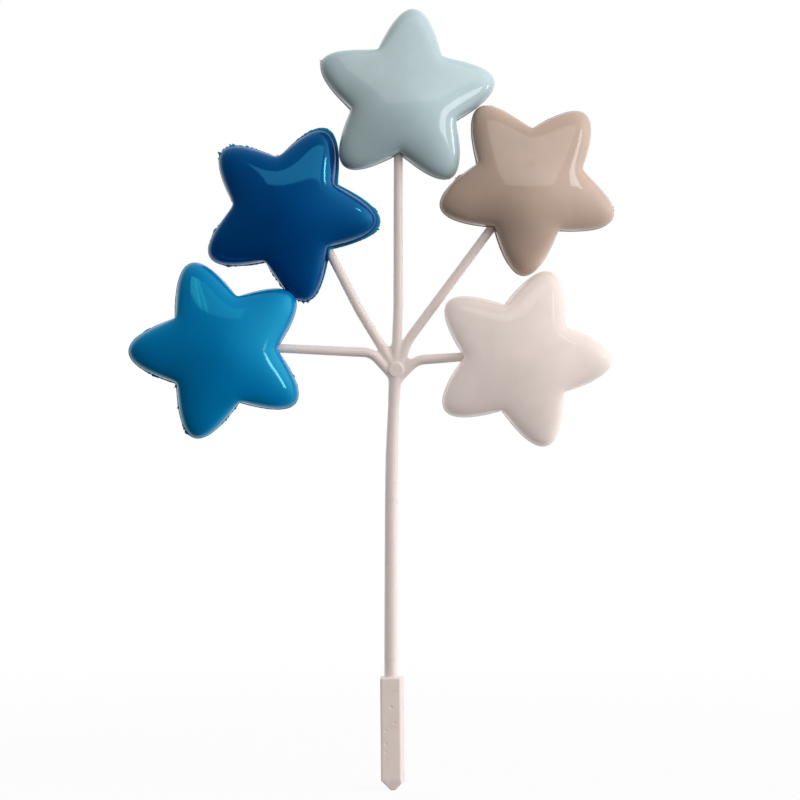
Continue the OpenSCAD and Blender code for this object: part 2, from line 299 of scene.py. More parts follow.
def outline_r(mould, angle, inset):
    """Distance from a star's middle to its outline, at angles from the nearest tip.

    An arm's half width is half_w * sqrt(1 - (1 - bulge) * t - bulge * t^2), where t runs from 0
    at the arm's foot to 1 at its tip. The line from the middle meets it where
    (foot + run * t) * tan(angle) equals that half width, which is a quadratic in t. Where the
    arms' sides meet in a notch, an inset counts for more.
    """
    slope = math.atan(
        mould.notch * mould.tip_r * math.sin(STEP / 2) / 2
        / (mould.tip_r - mould.notch * mould.tip_r * math.cos(STEP / 2))
    )
    notch = mould.notch * mould.tip_r - inset / math.sin(STEP / 2 + slope)
    foot, half_w = notch * math.cos(STEP / 2), notch * math.sin(STEP / 2)
    run = mould.tip_r - inset - foot
    k = np.tan(angle) ** 2
    a = k * run**2 + half_w**2 * mould.bulge
    b = 2 * k * foot * run + half_w**2 * (1 - mould.bulge)
    c = k * foot**2 - half_w**2
    t = (np.sqrt(np.maximum(0, b * b - 4 * a * c)) - b) / (2 * a)
    return (foot + run * t) / np.cos(angle)


# Waves that an outline is made of, and the samples that they are found from
HARMONICS, OUTLINE_SAMPLES = 40, 900
# Powers of nearness in a dome's height, and in that of its steep shoulder
DOME_REACH, DOME_EDGE = 1.5, 1.46
SHOULDER_REACH, SHOULDER_EDGE = 24.0, 2.0
CROWN_ROUND = 0.15
# Powers of nearness that fade an outline's first wave, and more for each wave after it
FIRST_FADE, MORE_FADE = 3.7, 1.35
# Rings of a shell's outer dome, inner dome and fillet, and how they crowd towards a dome's rim
DOME_RINGS, INNER_RINGS, FILLET_RINGS = 40, 16, 6
CROWDING = 0.8
# The flange's rounded rim: inset, distance below the flange's top, and edge share
RIM = ((0.05, 0.0, 0.85), (0.015, 0.02, 0.9), (0.0, 0.06, 0.95))
# Edge shares at the fillet's end and on the seam's face. The fillet's share is a painted
# highlight: it mixes the thin edge colour into the hollow between dome and flange
FILLET_HIGHLIGHT_SHARE, SEAM_SHARE = 0.5, 0.3
# Heights over the seam of the flash's foot and of its torn edge
FLASH_FOOT, FLASH_EDGE = 0.07, 0.04
# Flash is sampled round a star. Its noise, seeded by the letters and places of the star's name,
# has a slow and a quick part, each with a width in samples and a weight, and the tears in its
# bursts follow the quick one
FLASH_SAMPLES, FIRST_PLACE = 1200, 3
SLOW_WIDTH, QUICK_WIDTH = 14, 1.2
SLOW_WEIGHT, QUICK_WEIGHT, MOST_NOISE = 0.5, 0.25, 1.5
TEAR_MEAN, TEAR_SPREAD, MOST_TEAR = 0.45, 0.5, 1.3
# A lean holds in full where this times the cosine of the angle from its side is over 1
LEAN_SPREAD = 1.5


def waves(mould, inset):
    """Cosine waves of a star's outline: its distance is the sum of wave[n] * cos(5 n angle)."""
    angle = (np.arange(OUTLINE_SAMPLES) + 0.5) / OUTLINE_SAMPLES * STEP / 2
    n = np.arange(HARMONICS)[:, None]
    found = 2 * np.mean(outline_r(mould, angle, inset) * np.cos(TIPS * n * angle), axis=1)
    found[0] /= 2
    return found


def contour(wave, angle, nearness):
    """Outline at a nearness to the rim from 0 to 1.

    It is the outline scaled by the nearness, with wave n faded by nearness to a power that grows
    with n, so that the star rounds off towards its crown as a puffed skin does.
    """
    n = np.arange(len(wave))
    fade = np.where(n > 0, nearness ** (FIRST_FADE + MORE_FADE * (n - 1)), 1.0)
    return nearness * (np.cos(TIPS * angle[:, None] * n) @ (wave * fade))


def dome_profile(mould, count, base, crown):
    """Nearness to the rim and height of a dome's rings, from its crown to its base.

    The height is a shoulder (1 - nearness^reach)^(1 / edge) with a high reach, which rises
    steeply from the rim, and the same with a low reach, which rounds over to the crown. There
    the nearness is rounded off, so that the crown has no point.
    """
    near = np.sin(np.linspace(0, math.pi / 2, count + 1)[1:]) ** CROWDING
    steep = np.maximum(0, 1 - near**SHOULDER_REACH) ** (1 / SHOULDER_EDGE)
    rounded = (near**2 + CROWN_ROUND**2) ** (DOME_REACH / 2) - CROWN_ROUND**DOME_REACH
    rounded /= (1 + CROWN_ROUND**2) ** (DOME_REACH / 2) - CROWN_ROUND**DOME_REACH
    soft = np.maximum(0, 1 - rounded) ** (1 / DOME_EDGE)
    return near, base + mould.shoulder * steep + (crown - base - mould.shoulder) * soft


def soft_ring(values, width):
    """Values round a ring, blurred over a width in samples and scaled to an even spread."""
    ring = np.arange(len(values))
    away = np.minimum(ring, len(values) - ring)
    kernel = np.exp(-0.5 * (away / width) ** 2)
    soft = np.real(np.fft.ifft(np.fft.fft(values) * np.fft.fft(kernel)))
    return soft / soft.std()


def leaning(star, angle):
    """Wider flash and setback of the dome at angles, by a star's lean."""
    side, wider, back = star.get("lean", (0, 0.0, 0.0))
    part = np.clip(LEAN_SPREAD * np.cos(angle - math.radians(side)), 0, 1)
    return wider * part, back * part


def ragged_edge(star, name, angle):
    """Width of a star's seam flash round its edge: even, plus soft noise, plus torn bursts."""
    seed = sum(ord(letter) * place for place, letter in enumerate(name, FIRST_PLACE))
    rng = np.random.default_rng(seed)
    slow = soft_ring(rng.normal(size=FLASH_SAMPLES), SLOW_WIDTH)
    quick = soft_ring(rng.normal(size=FLASH_SAMPLES), QUICK_WIDTH)
    noise = np.clip(SLOW_WEIGHT * slow + QUICK_WEIGHT * quick, 0, MOST_NOISE)
    degrees = np.arange(FLASH_SAMPLES) * 360 / FLASH_SAMPLES
    width = star["flash"] + star["ragged"] * noise + leaning(star, np.radians(degrees))[0]
    tears = np.clip(TEAR_MEAN + TEAR_SPREAD * quick, 0, MOST_TEAR)
    for at, half, high in star["bursts"]:
        off = (degrees - at + 180) % 360 - 180
        width = width + high * tears * np.clip(1 - (off / half) ** 2, 0, 1)
    turn = np.degrees(angle) % 360
    return np.interp(turn, np.append(degrees, 360), np.append(width, width[0]))


def skewed(height, distance, nearness, angle, star):
    """Height of a ring on a star whose crown has set a little to one side.

    It falls by slope * distance * cos(angle - side) * (1 - nearness^2)^2, so it rises on the
    other side and stays as it is at the rim.
    """
    side, slope = star.get("skew", (0, 0.0))
    lean = slope * distance * np.cos(angle - math.radians(side))
    return height - lean * (1 - nearness**2) ** 2


def shell_rings(mould, star, name, is_front, angle):
    """Rings of a half shell from its crown round its flange and back to its inner crown.

    Each ring is (distance from the middle, height over the seam, bore, edge share). The bore is
    the radius of the round mouth that the ring keeps clear of, and the edge share tells the
    material how near the thin seam edge is. In the fillet it also paints a highlight line.
    """
    turn = angle - math.radians(star["spin"])
    outer, inner = waves(mould, mould.flange_w), waves(mould, mould.flange_w + mould.wall)
    bore = mould.mouth_d / 2
    proud = bore + mould.collar
    fillet, low = mould.fillet, mould.flange_t
    inward = leaning(star, angle)[1]
    rings = []
    for s, height in zip(*dome_profile(mould, DOME_RINGS, low + fillet, mould.crown_h)):
        distance = contour(outer, turn, s) - inward * s**2
        rings.append((distance, skewed(height, distance, s, angle, star), proud, 0.0))

    def at_inset(inset, height, radius, edge, further=0.0):
        distance = contour(waves(mould, inset), turn, 1.0) - further
        rings.append((distance, height, radius, edge))

    # The fillet's rings take a share of the thin edge colour, which paints a highlight line in the
    # hollow
    for bend in np.linspace(0, math.pi / 2, FILLET_RINGS + 1)[1:]:
        inset, drop = fillet * (1 - math.cos(bend)), fillet * (1 - math.sin(bend))
        thin_and_highlight_share = FILLET_HIGHLIGHT_SHARE * (1 - math.cos(bend))
        at_inset(mould.flange_w - inset, low + drop, proud, thin_and_highlight_share, inward)
    for inset, drop, thin_and_highlight_share in RIM:
        at_inset(inset, low - drop, proud, thin_and_highlight_share)
    at_inset(0.0, FLASH_FOOT, bore + FLASH_FOOT, 1.0)
    edge = contour(waves(mould, 0.0), turn, 1.0) + ragged_edge(star, name, angle)
    rings.append((edge, FLASH_EDGE, bore + FLASH_EDGE, 1.0))
    rings.append((edge, 0.0, bore, 1.0))
    # The front half's lip stands over the seam, in a step of the back half
    lip = mould.flange_w + mould.wall / 2
    root = inside = -mould.lip_h
    if not is_front:
        lip -= mould.lip_gap
        root = mould.lip_h + mould.lip_gap
        inside = root + mould.lip_gap
    at_inset(lip, 0.0, bore, SEAM_SHARE)
    at_inset(lip, root, bore, 0.0)
    at_inset(mould.flange_w + mould.wall, inside, bore, 0.0)
    # The inner dome, from the rim back to the crown
    near, high = dome_profile(mould, INNER_RINGS, 0.0, mould.crown_h - mould.wall)
    for s, height in zip(near[-2::-1], high[-2::-1]):
        distance = contour(inner, turn, s)
        rings.append((distance, skewed(height, distance, s, angle, star), bore, 0.0))
    return rings


def open_mouth(rings, mould, stick, star, angle):
    """Points of all rings, with a half-round mouth where the arm lies.

    A point closer to the arm's middle line than its ring's bore is lifted to the height
    sqrt(bore^2 - distance^2), which leaves a half-round channel through the shell's edge.
    """
    far, high, bore = (
        np.array([np.broadcast_to(ring[k], angle.shape) for ring in rings]) for k in range(3)
    )
    x, z = far * np.sin(angle), far * np.cos(angle)
    start = along_arm(star, mould, stick, 0.0)
    way = clockwise((0.0, 1.0), math.radians(star["arm"]))
    depth = (x - start[0]) * way[0] + (z - start[1]) * way[1]
    away = (x - start[0]) * way[1] - (z - start[1]) * way[0]
    lift = np.sqrt(np.maximum(0, bore**2 - away**2))
    by_mouth = np.abs(depth) < mould.notch * mould.tip_r / 2
    high = np.where(by_mouth & (lift > 0), np.maximum(high, lift), high)
    return np.stack([x, -high, z], axis=-1)


def grid_faces(rows, columns):
    """Quads between the rows of a grid whose columns close into a ring."""
    row, column = np.indices((rows - 1, columns))
    a, b = row * columns + column, row * columns + (column + 1) % columns
    return np.stack([a, a + columns, b + columns, b], axis=-1).reshape(-1, 4)


def shell_mesh(name, star, is_front, mould, stick):
    """Points, quads, triangles and edge shares of one half of a star."""
    angle = np.arange(ANGLES) * 2 * math.pi / ANGLES + math.radians(star["spin"])
    rings = shell_rings(mould, star, name, is_front, angle)
    points = open_mouth(rings, mould, stick, star, angle)
    rows = len(rings)
    edge = np.repeat([ring[3] for ring in rings], ANGLES)
    crown = np.array([[0, -mould.crown_h, 0], [0, mould.wall - mould.crown_h, 0]])
    points = np.concatenate([points.reshape(-1, 3), crown])
    if not is_front:
        points[:, 1] *= -1
    points = points @ star_turn(star).T + star_middle(star, mould, stick)
    quads = grid_faces(rows, ANGLES)
    here = np.arange(ANGLES)
    ahead = (here + 1) % ANGLES
    inner = (rows - 1) * ANGLES
    tops = np.stack([np.full(ANGLES, rows * ANGLES), here, ahead], axis=-1)
    ends = np.stack([np.full(ANGLES, rows * ANGLES + 1), inner + ahead, inner + here], axis=-1)
    triangles = np.concatenate([tops, ends])
    if not is_front:
        quads, triangles = quads[:, ::-1], triangles[:, ::-1]
    return points, quads, triangles, np.append(edge, [0.0, 0.0])


def add_piece(name, points, quads, triangles, sharp_degrees):
    """Mesh object in metres from points in millimetres, smooth but for edges over an angle."""
    mesh = bpy.data.meshes.new(name)
    corners = np.concatenate([quads.ravel(), triangles.ravel()]).astype(np.int32)
    sizes = np.concatenate([np.full(len(quads), 4), np.full(len(triangles), 3)])
    mesh.vertices.add(len(points))
    mesh.vertices.foreach_set("co", (points * MM).astype(np.float32).ravel())
    mesh.loops.add(len(corners))
    mesh.loops.foreach_set("vertex_index", corners)
    mesh.polygons.add(len(sizes))
    starts = np.concatenate([[0], np.cumsum(sizes)[:-1]]).astype(np.int32)
    mesh.polygons.foreach_set("loop_start", starts)
    mesh.update(calc_edges=True)
    mesh.validate()
    mesh.shade_smooth()
    mesh.set_sharp_from_angle(angle=math.radians(sharp_degrees))
    piece = bpy.data.objects.new(name, mesh)
    bpy.context.scene.collection.objects.link(piece)
    return piece


# The stick, as distances to rods, webs, boss and spike that run softly into one another

def soft_min(a, b, reach):
    """Smaller of two distances, with a round hollow corner of about that reach between them."""
    near = np.maximum(reach - np.abs(a - b), 0) / reach
    return np.minimum(a, b) - near**3 * reach / 6


def soft_max(a, b, reach):
    """Larger of two distances, with a rounded edge."""
    return -soft_min(-a, -b, reach)


def to_line(points, a, b):
    """Distance from points to the line between two points, and their share of the way along."""
    way = b - a
    t = np.clip((points - a) @ way / (way @ way), 0, 1)
    return np.linalg.norm(points - a - t[:, None] * way, axis=1), t


def rod(points, path, radii):
    """Distance to a round rod along a path, whose radius runs evenly between the path's points."""
    nearest = np.full(len(points), np.inf)
    for a, b, ra, rb in zip(path[:-1], path[1:], radii[:-1], radii[1:]):
        away, t = to_line(points, a, b)
        nearest = np.minimum(nearest, away - ra - (rb - ra) * t)
    return nearest


def flat_outline(points, corners):
    """Distance in the XZ plane to a closed outline, negative inside."""
    p = points[:, [0, 2]]
    nearest = np.full(len(p), np.inf)
    inside = np.zeros(len(p), bool)
    for a, b in zip(corners, np.roll(corners, -1, axis=0)):
        nearest = np.minimum(nearest, to_line(p, a, b)[0])
        spans = (a[1] > p[:, 1]) != (b[1] > p[:, 1])
        run, rise = b - a
        inside ^= spans & (p[:, 0] < a[0] + run * (p[:, 1] - a[1]) / (rise or 1.0))
    return np.where(inside, -nearest, nearest)


def arm_path(arm, mould, stick):
    """Path of an arm from the hub round its bend, into its star's mouth and on to its head."""
    name, (root_x, root_z), (bend_x, bend_z), _, _ = arm
    star = STARS[name]
    hub = np.array([stick.hub_x, 0.0, stick.hub_z])
    root = hub + np.array([root_x, 0.0, root_z]) * stick.hub_d
    gate = on_seam(star, mould, stick, 0.0)
    corner = hub + (gate - hub) * np.array([bend_x, min(bend_x, bend_z), bend_z])
    before = corner + (root - corner) / np.linalg.norm(root - corner) * stick.bend
    after = corner + (gate - corner) / np.linalg.norm(gate - corner) * stick.bend
    t = np.linspace(0, 1, BEND_POINTS)[:, None]
    bend = (1 - t) ** 2 * before + 2 * t * (1 - t) * corner + t**2 * after
    deep = on_seam(star, mould, stick, stick.head_in)
    path = np.concatenate([[root], bend, [gate, deep]])
    return path, root, corner


def web_corners(arms, stick):
    """Outline of the webs: out along each arm, and back towards the hub between two arms."""
    hub = np.array([stick.hub_x, stick.hub_z])
    feet = [hub + np.array(foot) * stick.hub_d for foot in WEB_FEET]
    rows = []
    for (*_, along, dip), (_, root, corner) in zip(ARMS, arms):
        reach = (root + (corner - root) * along)[[0, 2]]
        if rows:
            rows.append(hub + ((rows[-1] + reach) / 2 - hub) * last_dip)
        rows.append(reach)
        last_dip = dip
    return np.array([feet[0], *rows, feet[1]])


def spike_distance(points, stick):
    """Distance to the flat spike: the largest distance over its faces, with soft edges."""
    c, s = math.cos(SPIKE_LEAN), math.sin(SPIKE_LEAN)
    across = points[:, 0] * c + points[:, 2] * s
    bevel = np.where(across > 0, stick.bevel_right, stick.bevel_left)
    x, y = np.abs(across), np.abs(points[:, 1])
    z = points[:, 2] * c - points[:, 0] * s
    half_w, half_t = stick.spike_w / 2, stick.spike_t / 2
    faces = [
        x - half_w, y - half_t, z, -z - stick.spike_len,
        (x + y - half_w - half_t + bevel) / math.sqrt(2),
        (x + z - half_w + stick.shoulder) / math.sqrt(2),
        (y + z - half_t + stick.shoulder) / math.sqrt(2),
    ]
    for away, half, left in ((x, half_w, stick.point_w), (y, half_t, stick.point_t)):
        run = half - left / 2
        slant = (away - half) * stick.point_h - (z - stick.point_h + stick.spike_len) * run
        faces.append(slant / math.hypot(stick.point_h, run))
    found = faces[0]
    for face in faces[1:]:
        found = soft_max(found, face, SPIKE_BLEND)
    for mark_x, mark_z, mark_r in SPIKE_MARKS:
        middle = np.array([mark_x, -half_t - MARK_OUT * mark_r, mark_z])
        found = np.maximum(found, mark_r - np.linalg.norm(points - middle, axis=1))
    nick_x, nick_z, nick_r = POINT_NICK
    from_nick = np.hypot(points[:, 0] - nick_x, points[:, 2] - nick_z)
    return soft_max(found, nick_r - from_nick, SPIKE_BLEND)


def stick_distance(mould, stick):
    """Function that gives the distance from any points to the stick's surface."""
    arms = [arm_path(arm, mould, stick) for arm in ARMS]
    corners = web_corners(arms, stick)
    hub = np.array([stick.hub_x, 0.0, stick.hub_z])
    t = np.linspace(STEM_ROWS[0][0], 1, STEM_POINTS)
    curve = np.maximum(0, t - STEM_CURVE) / (1 - STEM_CURVE)
    stem_x = (stick.hub_x + stick.stem_shift) * curve**3 - stick.stem_shift
    stem = np.stack([stem_x, np.zeros_like(t), stick.hub_z * t], axis=-1)
    rows = np.array(STEM_ROWS)
    stem_r = np.interp(t, rows[:, 0], rows[:, 1]) * stick.stem_d / 2

    def distance(points):
        found = rod(points, stem, stem_r)
        for path, _, _ in arms:
            radii = np.full(len(path), stick.arm_d / 2)
            radii[-2:] = stick.arm_end_d / 2
            found = soft_min(found, rod(points, path, radii), stick.blend)
            head = np.linalg.norm(points - path[-1], axis=1) - stick.head_d / 2
            found = soft_min(found, head, SMALL_BLEND)
        depth = np.abs(points[:, 1])
        web = soft_max(flat_outline(points, corners), depth - stick.web_t / 2, SMALL_BLEND)
        found = soft_min(found, web, stick.blend)
        boss_middle = hub - np.array([0.0, 0.0, stick.boss_drop])
        around = np.linalg.norm((points - boss_middle)[:, [0, 2]], axis=1) - stick.boss_d / 2
        boss = soft_max(around, depth - stick.boss_t / 2, SMALL_BLEND)
        found = soft_min(found, boss, BOSS_BLEND)
        return soft_min(found, spike_distance(points, stick), SMALL_BLEND)

    return distance


# Surface net: cells along a block's side, blocks worked out at a time, spare reach for distances
# that are a little off, and the distance that stands for all that lies far away
BLOCK, BATCH = 8, 400
SPARE, FAR = 1.0, 9.0
# Rounds that move its points, the step that a slope is taken over, and the least squared slope
ROUNDS, SLOPE_STEP, LEAST_SLOPE = 3, 0.01, 0.05


def surface_net(distance, low, high, cell):
    """Quads over the surface where a distance is zero, and their points.

    Every cell of a grid that the surface crosses gets one point, the mean of the crossings of
    the cell's edges, and every grid edge that the surface crosses gets the quad of the four
    cells round it. Only blocks of the grid that lie near the surface are worked out. Last, each
    point moves down the slope of the distance until it lies on the surface.
    """
    counts = np.ceil((high - low) / (cell * BLOCK)).astype(int) + 1
    reach = cell * BLOCK * math.sqrt(3) / 2 + SPARE
    index = np.indices(counts).reshape(3, -1).T
    middles = low + (index + 0.5) * cell * BLOCK
    index = index[np.abs(distance(middles)) < reach]
    values = np.full(counts * BLOCK, FAR, np.float32)
    inner = np.indices([BLOCK] * 3).reshape(3, -1).T
    for some in np.array_split(index, max(1, len(index) // BATCH)):
        spots = (some[:, None] * BLOCK + inner).reshape(-1, 3)
        values[tuple(spots.T)] = distance(low + spots * cell)
    inside = values < 0
    quads, crossings = [], []
    for axis in range(3):
        ahead, u, v = np.roll(np.eye(3, dtype=int), -axis, axis=0)
        spots = np.argwhere(np.diff(inside, axis=axis))
        a, b = values[tuple(spots.T)], values[tuple((spots + ahead).T)]
        cells = np.stack([spots, spots - u, spots - u - v, spots - v], axis=1)
        quads.append(np.where((a < 0)[:, None, None], cells, cells[:, ::-1]))
        crossings.append(np.repeat(spots + ahead * (a / (a - b))[:, None], 4, axis=0))
    quads = np.concatenate(quads)
    crossings = np.concatenate(crossings)
    keys = np.ravel_multi_index(tuple(quads.reshape(-1, 3).T), values.shape)
    _, found = np.unique(keys, return_inverse=True)
    found = found.reshape(-1)
    # A crossing's row repeats for each of its four cells, whose order doesn't matter here
    total = np.bincount(found)
    points = np.stack([np.bincount(found, crossings[:, k]) / total for k in range(3)], axis=-1)
    points = low + points * cell
    for _ in range(ROUNDS):
        here = distance(points)
        slope = np.stack([
            (distance(points + step) - distance(points - step)) / (2 * SLOPE_STEP)
            for step in np.eye(3) * SLOPE_STEP
        ], axis=-1)
        steep = np.maximum(np.sum(slope**2, axis=1), LEAST_SLOPE)
        points -= np.clip(here / steep, -cell / 2, cell / 2)[:, None] * slope
    return points, found.reshape(-1, 4)


# Materials

# Room for a node in the editor
NODE_STEP = 200


def empty_tree(owner):
    """Node tree of a new material or world, with nothing in it."""
    owner.use_nodes = True
    owner.node_tree.nodes.clear()
    return owner.node_tree


def add_node(tree, kind, settings=None, first=(), **inputs):
    """Adds a node beside the last one, with its settings and inputs, and gives its outputs.

    An input is a value or a socket. Inputs go by their names, or in order in first where some
    share a name.
    """
    node = tree.nodes.new("ShaderNode" + kind)
    node.location.x = NODE_STEP * len(tree.nodes)
    for key, value in (settings or {}).items():
        setattr(node, key, value)
    pairs = list(zip(node.inputs, first))
    for key, value in inputs.items():
        label = key.replace("_", " ")
        socket = next(s for s in node.inputs if s.enabled and s.name.lower() == label)
        pairs.append((socket, value))
    for socket, value in pairs:
        if isinstance(value, bpy.types.NodeSocket):
            tree.links.new(value, socket)
        else:
            socket.default_value = value
    return node.outputs


def glossy_star_plastic(name, colour, thin_and_highlight_colour, gloss_tint, ior, painted_glow):
    """Polystyrene, injection moulded against a polished mould.

    To the eye: a deep even colour under a sharp clear gloss, reflections that swim a little
    because the wall has shrunk unevenly, a very faint cloudiness, and a lighter, clearer edge
    where the seam's flange and flash are thin. The same lighter colour in the hollow fillet
    between dome and flange is a painted highlight. An inner light, where one is given, is a
    painted glow that lifts the shade.
    """
    material = bpy.data.materials.new(name)
    tree = empty_tree(material)
    place = add_node(tree, "TexCoord")["Object"]
    edge = add_node(
        tree, "Attribute", {"attribute_name": "edge_share", "attribute_type": "GEOMETRY"}
    )["Fac"]
    # Cloudiness in patches of 7 mm, uneven shrinkage in swells of 5 mm, and fine grain
    cloud, swell, grain = (
        add_node(
            tree, "TexNoise", vector=place,
            scale=1 / (size * MM), detail=detail, roughness=roughness,
        )["Fac"]
        for size, detail, roughness in ((7, 2.0, 0.5), (5, 1.0, 0.4), (0.45, 2.0, 0.6))
    )
    cloudy = add_node(
        tree, "MapRange", value=cloud, from_min=0.3, from_max=0.7, to_min=0.95, to_max=1.05
    )["Result"]
    # The thin edge colour comes in by the edge share. It covers the thin flange and flash, and it
    # paints a highlight line in the fillet
    body = add_node(
        tree, "Mix", {"data_type": "RGBA"}, factor=edge, a=(*colour, 1), b=(*thin_and_highlight_colour, 1)
    )[2]
    shaded = add_node(tree, "VectorMath", {"operation": "SCALE"}, vector=body, scale=cloudy)[0]
    swelling = add_node(tree, "Bump", height=swell, strength=1.0, distance=0.012 * MM)[0]
    graining = add_node(
        tree, "Bump", height=grain, normal=swelling, strength=1.0, distance=0.0006 * MM
    )[0]
    gloss = add_node(
        tree, "MapRange", value=grain, from_min=0.3, from_max=0.7, to_min=0.045, to_max=0.09
    )["Result"]
    # The emission is a painted glow, not a lamp: it lifts the shade of the white star
    shader = add_node(
        tree, "BsdfPrincipled", base_color=shaded,
        roughness=gloss, normal=graining, ior=ior, specular_tint=(*gloss_tint, 1),
        emission_color=(*colour, 1), emission_strength=painted_glow,
    )
    add_node(tree, "OutputMaterial", surface=shader[0])
    return material


def satin_stick_plastic(name, colour):
    """Polystyrene, injection moulded in a plain machined mould.

    To the eye: off-white and a little milky, with a soft satin gloss, faint flow clouds along
    the arms, and fine marks of the mould's cutter.
    """
    material = bpy.data.materials.new(name)
    tree = empty_tree(material)
    place = add_node(tree, "TexCoord")["Object"]
    cloud, grain = (
        add_node(
            tree, "TexNoise", vector=place, scale=1 / (size * MM), detail=3.0, roughness=roughness
        )["Fac"]
        for size, roughness in ((3, 0.55), (0.3, 0.6))
    )
    mix = add_node(
        tree, "Mix", {"data_type": "RGBA"}, factor=cloud,
        a=(*[c * 0.96 for c in colour], 1), b=(*[min(1.0, c * 1.03) for c in colour], 1),
    )
    bump = add_node(tree, "Bump", height=grain, strength=1.0, distance=0.004 * MM)[0]
    gloss = add_node(
        tree, "MapRange", value=cloud, from_min=0.3, from_max=0.7, to_min=0.26, to_max=0.4
    )["Result"]
    shader = add_node(
        tree, "BsdfPrincipled", base_color=mix[2], roughness=gloss, normal=bump, ior=1.5,
        subsurface_weight=0.7, subsurface_radius=(1.0, 0.85, 0.78), subsurface_scale=0.4 * MM,
    )
    add_node(tree, "OutputMaterial", surface=shader[0])
    return material


# Colours of the thin seam edges, which light comes through. They also give the painted highlight
# line in each fillet
THIN_AND_HIGHLIGHT = {
    "sky": "#CDD6D6", "navy": "#2D93BA", "aqua": "#2A9CC8", "taupe": "#D8C8BC", "white": "#F2EEEB",
}

# Tint and index of the gloss, and a painted glow. The deep blues hold
# so much pigment that their gloss is blue too, and the white star gets a faint painted glow that
# lifts its shade
GLOSS = {
    "sky": ((1.0, 1.0, 1.0), 1.43, 0.0), "navy": ((0.07, 0.7, 1.0), 1.6, 0.0),
    "aqua": ((0.09, 1.0, 1.0), 1.66, 0.0), "taupe": ((1.0, 1.0, 1.0), 1.43, 0.0),
    "white": ((1.0, 1.0, 1.0), 1.4, 0.15),
}

# Share of the paper's look that is plain white to the camera, and where its fade starts and ends
# as shares of its radius
PAPER_WHITE = 0.9
FADE_START, FADE_END = 0.3, 0.98


def white_paper(radius):
    """White studio paper, matt and faintly fibrous, which fades out towards the disc's rim.

    The camera sees it near white with the object's shadow on it, and other rays pass through, so
    that the room's glows light the object from below as well.
    """
    material = bpy.data.materials.new("white_studio_paper")
    tree = empty_tree(material)
    place = add_node(tree, "TexCoord")["Object"]
    camera_ray = add_node(tree, "LightPath")["Is Camera Ray"]
    fibre = add_node(tree, "TexNoise", vector=place, scale=1 / (2 * MM), detail=3.0)["Fac"]
    bump = add_node(tree, "Bump", height=fibre, strength=0.3, distance=0.02 * MM)[0]
    paper = add_node(tree, "BsdfDiffuse", color=(0.95, 0.95, 0.95, 1), normal=bump)[0]
    glow = add_node(tree, "Emission", color=(1, 1, 1, 1), strength=1.0)[0]
    near_white = add_node(tree, "MixShader", None, (PAPER_WHITE, paper, glow))[0]
    level = add_node(tree, "VectorMath", {"operation": "MULTIPLY"}, (place, (1, 1, 0)))[0]
    far = add_node(tree, "VectorMath", {"operation": "LENGTH"}, (level,))["Value"]
    fade = add_node(
        tree, "MapRange", {"interpolation_type": "SMOOTHSTEP"},
        value=far, from_min=radius * FADE_START, from_max=radius * FADE_END,
    )["Result"]
    # All rays but the camera's pass through
    unseen = add_node(tree, "Math", {"operation": "SUBTRACT"}, (1.0, camera_ray))[0]
    hidden = add_node(tree, "Math", {"operation": "MAXIMUM"}, (fade, unseen))[0]
    clear = add_node(tree, "BsdfTransparent")[0]
    faded = add_node(tree, "MixShader", None, (hidden, near_white, clear))[0]
    add_node(tree, "OutputMaterial", surface=faded)
    return material


# Operators

# Edges that turn by more degrees than this stay sharp
SHELL_SHARP, STICK_SHARP = 35, 80
# Room round the stick's box for its surface net, in millimetres
NET_MARGIN = 1.0


class TOPPER_OT_stars(bpy.types.Operator):
    """Build the ten shells of the five stars"""

    bl_idname = "topper.stars"
    bl_label = "Star shells"

    def execute(self, context):
        scene = context.scene
        mould, stick = Sizes(scene.topper_star), Sizes(scene.topper_stick)
        for name, star in STARS.items():
            colour = tuple(getattr(scene.topper_finish, name))
            plastic = glossy_star_plastic(
                f"moulded_polystyrene_{name}", colour, linear(THIN_AND_HIGHLIGHT[name]), *GLOSS[name]
            )
            for half in ("front", "back"):
                points, quads, triangles, edge = shell_mesh(
                    name, star, half == "front", mould, stick
                )
                piece = add_piece(
                    f"{name}_star_{half}_shell", points, quads, triangles, SHELL_SHARP
                )
                layer = piece.data.attributes.new("edge_share", "FLOAT", "POINT")
                layer.data.foreach_set("value", edge.astype(np.float32))
                piece.data.materials.append(plastic)
                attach(piece, "root")
                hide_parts(f"{name}_star_{half}")
        return {"FINISHED"}


class TOPPER_OT_stick(bpy.types.Operator):
    """Build the branching stick as one moulding"""

    bl_idname = "topper.stick"
    bl_label = "Branching stick"

    def execute(self, context):
        scene = context.scene
        mould, stick = Sizes(scene.topper_star), Sizes(scene.topper_stick)
        distance = stick_distance(mould, stick)
        low, high = (np.array(corner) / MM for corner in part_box("branch_frame"))
        points, quads = surface_net(distance, low - NET_MARGIN, high + NET_MARGIN, NET_CELL)
        no_triangles = np.zeros((0, 3), int)
        piece = add_piece("stick_moulding", points, quads, no_triangles, STICK_SHARP)
        piece.data.materials.append(
            satin_stick_plastic("moulded_polystyrene_stick", tuple(scene.topper_finish.stick))
        )
        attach(piece, "root")
        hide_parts("branch_frame")
        return {"FINISHED"}


def direction(azimuth, elevation):
    """Unit vector towards an azimuth and elevation: 0 is the camera's side and 90 the right."""
    a, e = math.radians(azimuth), math.radians(elevation)
    return Vector((math.sin(a) * math.cos(e), -math.cos(a) * math.cos(e), math.sin(e)))


# Soft white glows of the room round the object: azimuth, elevation, tightness and strength
GLOWS = (
    (118, -31, 6.0, 1.6), (65, 19, 5.8, 3.0), (-119, -25, 5.8, 0.25), (-103, 79, 3.0, 0.85),
    (-152, 0, 6.0, 2.0),
)

